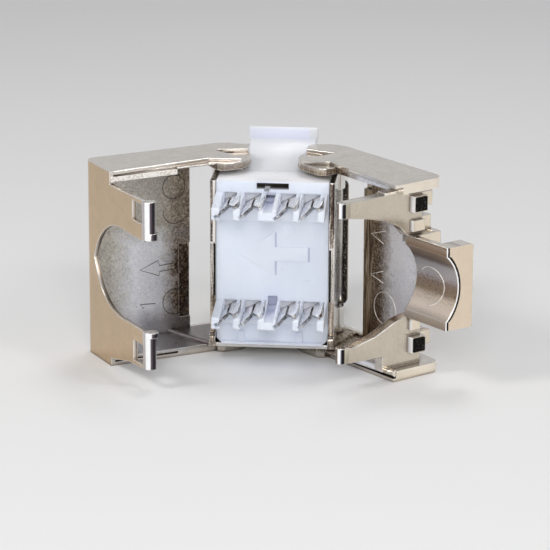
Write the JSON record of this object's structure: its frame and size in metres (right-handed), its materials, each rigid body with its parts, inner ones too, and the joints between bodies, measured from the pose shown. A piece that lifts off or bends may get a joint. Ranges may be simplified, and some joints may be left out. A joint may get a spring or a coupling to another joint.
{
  "type": "keystone jack",
  "caption": "Shielded tool-free keystone jack in nickel-plated zinc with its two hinged rear wings open, white wire terminal block and white panel latch.",
  "frame": {"origin": "middle of the plug opening, in the plane of the front face", "axes": "+Y along the plug axis, out of the front face; +Z towards the latch; +X to the right when looking at the wire side"},
  "size_m": [0.0436, 0.0349, 0.0236],
  "materials": {
    "plated_zinc": "bright nickel plate over a slightly grainy casting",
    "plated_zinc_left_wing": "bright nickel plate over a slightly grainy casting",
    "plated_zinc_right_wing": "bright nickel plate over a slightly grainy casting",
    "pin_steel": "polished",
    "white_plastic": "satin, slightly see-through white",
    "latch_plastic": "satin, slightly see-through white",
    "tinned_bronze": "tin plated",
    "gold_contact": "gold plated",
    "dark_plastic": "satin",
    "board": "solder mask",
    "spring_steel": "bright"
  },
  "bodies": {
    "jack_body": {"body_shell": "plated_zinc", "terminal_block": "white_plastic", "circuit_board": "board", "contact_insert": "dark_plastic", "shield_spring_left": "spring_steel", "shield_spring_right": "spring_steel", "hinge_pin_left_top": "pin_steel", "hinge_pin_left_bottom": "pin_steel", "hinge_pin_right_top": "pin_steel", "hinge_pin_right_bottom": "pin_steel", "terminal_1": "tinned_bronze", "terminal_2": "tinned_bronze", "terminal_3": "tinned_bronze", "terminal_4": "tinned_bronze", "terminal_5": "tinned_bronze", "terminal_6": "tinned_bronze", "terminal_7": "tinned_bronze", "terminal_8": "tinned_bronze", "port_contact_1": "gold_contact", "port_contact_2": "gold_contact", "port_contact_3": "gold_contact", "port_contact_4": "gold_contact", "port_contact_5": "gold_contact", "port_contact_6": "gold_contact", "port_contact_7": "gold_contact", "port_contact_8": "gold_contact"},
    "left_wing_body": {"left_wing": "plated_zinc_left_wing"},
    "right_wing_body": {"right_wing": "plated_zinc_right_wing"},
    "latch_body": {"keystone_latch": "latch_plastic"}
  },
  "joints": [
    {"name": "left_wing_hinge", "type": "hinge", "parent": "jack_body", "child": "left_wing_body", "pos_m": [-0.006, -0.0145, -0.0003], "axis": [0, 0, 1], "range_deg": [-4, 58]},
    {"name": "right_wing_hinge", "type": "hinge", "parent": "jack_body", "child": "right_wing_body", "pos_m": [0.006, -0.0145, -0.0003], "axis": [0, 0, 1], "range_deg": [-43, 19]},
    {"name": "latch_flex", "type": "hinge", "parent": "jack_body", "child": "latch_body", "pos_m": [0, -0.0171, 0.00872], "axis": [1, 0, 0], "range_deg": [-9.3, 0], "stiffness_Nm_per_rad": 0.3}
  ]
}
